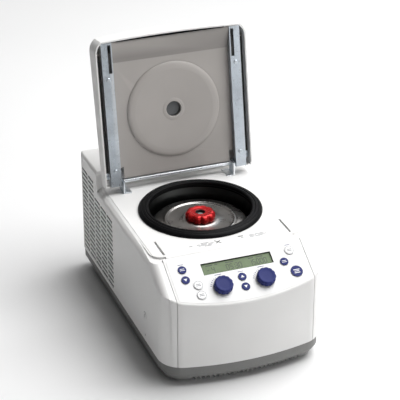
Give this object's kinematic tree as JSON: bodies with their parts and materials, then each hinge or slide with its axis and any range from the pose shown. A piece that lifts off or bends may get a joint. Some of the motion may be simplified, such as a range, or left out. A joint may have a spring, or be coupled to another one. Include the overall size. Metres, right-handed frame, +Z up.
{
  "type": "microcentrifuge",
  "caption": "Refrigerated bench-top microcentrifuge, lid open over an angled tube rotor, with a sloped panel of display, knobs and push buttons.",
  "frame": {"origin": "centre of the footprint, on the surface that the feet stand on", "axes": "+X to the operator's right, +Y from the control panel to the back, +Z up"},
  "size_m": [0.29, 0.48, 0.4853],
  "materials": {
    "housing_white": "satin moulded",
    "panel_film": "fine matte film",
    "button_white": "satin",
    "control_blue": "satin",
    "pan_grey": "fine textured paint",
    "rubber_black": "matte moulded rubber",
    "zinc_steel": "zinc plated",
    "lid_taupe": "satin vacuum-formed sheet",
    "display_green": "reflective liquid crystal",
    "black_plastic": "moulded",
    "circuit_green": "solder mask",
    "bare_steel": "brushed",
    "bowl_steel": "dark satin stainless",
    "copper": "drawn copper tube",
    "foam": "closed-cell foam",
    "rotor_dark": "dark anodised",
    "rotor_lid_grey": "turned, anodised",
    "nut_red": "red anodised",
    "compressor_black": "gloss paint",
    "sight_glass": "polished"
  },
  "bodies": {
    "root": {"base_pan": "pan_grey", "rubber_feet": "rubber_black", "main_housing": "housing_white", "side_grille_left": "housing_white", "side_grille_right": "housing_white", "rear_panel": "bare_steel", "rear_panel_screws": "zinc_steel", "front_fascia": "housing_white", "control_overlay": "panel_film", "display_window": "display_green", "display_module": "black_plastic", "control_board": "circuit_green", "knob_encoders": "bare_steel", "rotor_chamber": "bowl_steel", "chamber_insulation": "foam", "evaporator_coil": "copper", "chamber_gasket": "rubber_black", "motor_housing": "bare_steel", "motor_stator": "copper", "motor_bearings": "bare_steel", "motor_mounts": "rubber_black", "main_board": "circuit_green", "power_supply": "bare_steel", "compressor": "compressor_black", "condenser": "copper", "fan_frame": "black_plastic", "mains_inlet": "black_plastic", "switch_frame": "black_plastic", "release_plug": "pan_grey", "latch_motor": "bare_steel", "hinge_ears": "zinc_steel", "hinge_shaft": "zinc_steel"},
    "lid": {"lid_shell": "housing_white", "lid_inner_panel": "lid_taupe", "lid_seal_strip": "rubber_black", "lid_rail_left": "zinc_steel", "lid_rail_right": "zinc_steel", "lid_rail_screws": "zinc_steel", "sight_glass": "sight_glass"},
    "rotor": {"motor_shaft": "bare_steel", "rotor_body": "rotor_dark", "rotor_lid": "rotor_lid_grey"},
    "nut": {"rotor_nut": "nut_red"},
    "speed_knob": {"speed_knob": "control_blue"},
    "time_knob": {"time_knob": "control_blue"},
    "latch": {"latch_shaft": "zinc_steel", "latch_hooks": "zinc_steel"},
    "fan": {"fan_blades": "black_plastic"},
    "power_rocker": {"mains_switch": "black_plastic"},
    "fast_cool_button": {"fast_cool_button": "control_blue"},
    "speed_unit_button": {"speed_unit_button": "control_blue"},
    "temp_up_button": {"temp_up_button": "control_blue"},
    "temp_down_button": {"temp_down_button": "control_blue"},
    "open_button": {"open_button": "control_blue"},
    "start_stop_button": {"start_stop_button": "control_blue"},
    "short_spin_button": {"short_spin_button": "button_white"},
    "ramp_button": {"ramp_button": "button_white"},
    "program_button": {"program_button": "button_white"}
  },
  "joints": [
    {"name": "lid_hinge", "type": "hinge", "parent": "root", "child": "lid", "pos_m": [0, 0.115, 0.224], "axis": [1, 0, 0], "range_deg": [0, 99.6]},
    {"name": "rotor_spin", "type": "hinge", "parent": "root", "child": "rotor", "pos_m": [0, -0.004, 0.16], "axis": [0, 0, 1], "continuous": true},
    {"name": "nut_turn", "type": "hinge", "parent": "rotor", "child": "nut", "pos_m": [0, -0.004, 0.195], "axis": [0, 0, 1], "continuous": true},
    {"name": "speed_knob_turn", "type": "hinge", "parent": "root", "child": "speed_knob", "pos_m": [0.038, -0.20886, 0.16943], "axis": [0, -0.515, 0.8572], "continuous": true},
    {"name": "time_knob_turn", "type": "hinge", "parent": "root", "child": "time_knob", "pos_m": [-0.038, -0.20886, 0.16943], "axis": [0, -0.515, 0.8572], "continuous": true},
    {"name": "latch_turn", "type": "hinge", "parent": "root", "child": "latch", "pos_m": [0, -0.12, 0.183], "axis": [1, 0, 0], "range_deg": [0, 30]},
    {"name": "fan_spin", "type": "hinge", "parent": "root", "child": "fan", "pos_m": [0.094, 0.176, 0.128], "axis": [1, 0, 0], "continuous": true},
    {"name": "power_rocker_tip", "type": "hinge", "parent": "root", "child": "power_rocker", "pos_m": [0.024, 0.234, 0.092], "axis": [1, 0, 0], "range_deg": [0, 16]},
    {"name": "fast_cool_button_press", "type": "slide", "parent": "root", "child": "fast_cool_button", "axis": [0, 0.515, -0.8572], "range_m": [0, 0.001], "stiffness_N_per_m": 400},
    {"name": "speed_unit_button_press", "type": "slide", "parent": "root", "child": "speed_unit_button", "axis": [0, 0.515, -0.8572], "range_m": [0, 0.001], "stiffness_N_per_m": 400},
    {"name": "temp_up_button_press", "type": "slide", "parent": "root", "child": "temp_up_button", "axis": [0, 0.515, -0.8572], "range_m": [0, 0.001], "stiffness_N_per_m": 400},
    {"name": "temp_down_button_press", "type": "slide", "parent": "root", "child": "temp_down_button", "axis": [0, 0.515, -0.8572], "range_m": [0, 0.001], "stiffness_N_per_m": 400},
    {"name": "open_button_press", "type": "slide", "parent": "root", "child": "open_button", "axis": [0, 0.515, -0.8572], "range_m": [0, 0.001], "stiffness_N_per_m": 400},
    {"name": "start_stop_button_press", "type": "slide", "parent": "root", "child": "start_stop_button", "axis": [0, 0.515, -0.8572], "range_m": [0, 0.001], "stiffness_N_per_m": 400},
    {"name": "short_spin_button_press", "type": "slide", "parent": "root", "child": "short_spin_button", "axis": [0, 0.515, -0.8572], "range_m": [0, 0.001], "stiffness_N_per_m": 400},
    {"name": "ramp_button_press", "type": "slide", "parent": "root", "child": "ramp_button", "axis": [0, 0.515, -0.8572], "range_m": [0, 0.001], "stiffness_N_per_m": 400},
    {"name": "program_button_press", "type": "slide", "parent": "root", "child": "program_button", "axis": [0, 0.515, -0.8572], "range_m": [0, 0.001], "stiffness_N_per_m": 400}
  ]
}
